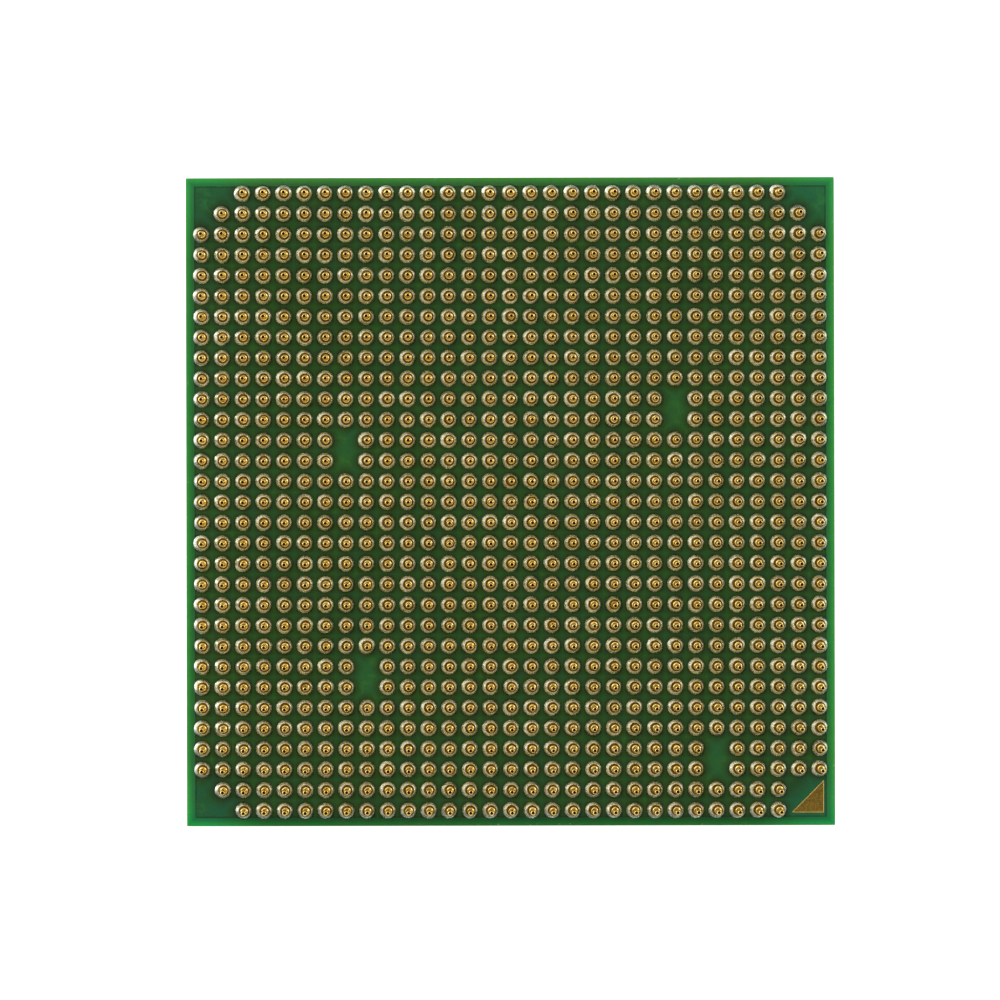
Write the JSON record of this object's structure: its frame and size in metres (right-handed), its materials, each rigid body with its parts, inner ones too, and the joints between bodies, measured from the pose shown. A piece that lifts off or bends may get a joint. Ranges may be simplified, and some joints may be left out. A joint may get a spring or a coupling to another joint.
{
  "type": "cpu processor",
  "caption": "Square pin-grid processor package: a green laminate with a keyed grid of gold pins on one face and a bonded metal heat-spreader lid over the chip on the other.",
  "frame": {"origin": "centre of the lid's contact face, the plane the package rests on with its pins up", "axes": "+Z from the lid through the laminate to the pin tips, +X and +Y along the package's sides, pin-one corner at +X -Y"},
  "size_m": [0.04, 0.04, 0.0062],
  "materials": {
    "gold_plated_pin": "gold-plated round pins, bright, with tin-silver solder collars at the foot",
    "solder": "dull reflowed solder",
    "marker_gold": "flash-gold over copper, slightly stained",
    "nickel_plated_copper": "satin nickel plate with fine lapping marks",
    "lid_sealant": "matte silicone bead",
    "thermal_interface": "grey metal-filled layer",
    "silicon": "polished silicon",
    "underfill_epoxy": "dark epoxy fillet",
    "solder_mask": "semi-gloss green solder mask, darker over copper",
    "laminate": "cut edge of build-up laminate",
    "glass_epoxy_core": "cut edge of woven glass epoxy",
    "copper": "copper foil under the mask",
    "capacitor_ceramic": "tan ceramic chip with tinned ends"
  },
  "bodies": {
    "root": {"heat_spreader_lid": "nickel_plated_copper", "lid_adhesive": "lid_sealant", "thermal_interface": "thermal_interface", "silicon_die": "silicon", "solder_bump_layer": "solder", "underfill": "underfill_epoxy", "solder_mask_lid_side": "solder_mask", "build_up_lid_side": "laminate", "substrate_core": "glass_epoxy_core", "build_up_pin_side": "laminate", "copper_plane_pin_side": "copper", "solder_mask_pin_side": "solder_mask", "pin_one_marker_pin_side": "marker_gold", "pin_one_marker_lid_side": "marker_gold", "capacitor_east_1": "capacitor_ceramic", "capacitor_east_2": "capacitor_ceramic", "capacitor_east_3": "capacitor_ceramic", "capacitor_north_1": "capacitor_ceramic", "capacitor_north_2": "capacitor_ceramic", "capacitor_north_3": "capacitor_ceramic", "capacitor_west_1": "capacitor_ceramic", "capacitor_west_2": "capacitor_ceramic", "capacitor_west_3": "capacitor_ceramic", "capacitor_south_1": "capacitor_ceramic", "capacitor_south_2": "capacitor_ceramic", "capacitor_south_3": "capacitor_ceramic", "pin_row_A": "gold_plated_pin", "pin_row_B": "gold_plated_pin", "pin_row_C": "gold_plated_pin", "pin_row_D": "gold_plated_pin", "pin_row_E": "gold_plated_pin", "pin_row_F": "gold_plated_pin", "pin_row_G": "gold_plated_pin", "pin_row_H": "gold_plated_pin", "pin_row_J": "gold_plated_pin", "pin_row_K": "gold_plated_pin", "pin_row_L": "gold_plated_pin", "pin_row_M": "gold_plated_pin", "pin_row_N": "gold_plated_pin", "pin_row_P": "gold_plated_pin", "pin_row_R": "gold_plated_pin", "pin_row_T": "gold_plated_pin", "pin_row_U": "gold_plated_pin", "pin_row_V": "gold_plated_pin", "pin_row_W": "gold_plated_pin", "pin_row_Y": "gold_plated_pin", "pin_row_AA": "gold_plated_pin", "pin_row_AB": "gold_plated_pin", "pin_row_AC": "gold_plated_pin", "pin_row_AD": "gold_plated_pin", "pin_row_AE": "gold_plated_pin", "pin_row_AF": "gold_plated_pin", "pin_row_AG": "gold_plated_pin", "pin_row_AH": "gold_plated_pin", "pin_row_AJ": "gold_plated_pin", "pin_row_AK": "gold_plated_pin", "pin_row_AL": "gold_plated_pin"}
  },
  "joints": []
}
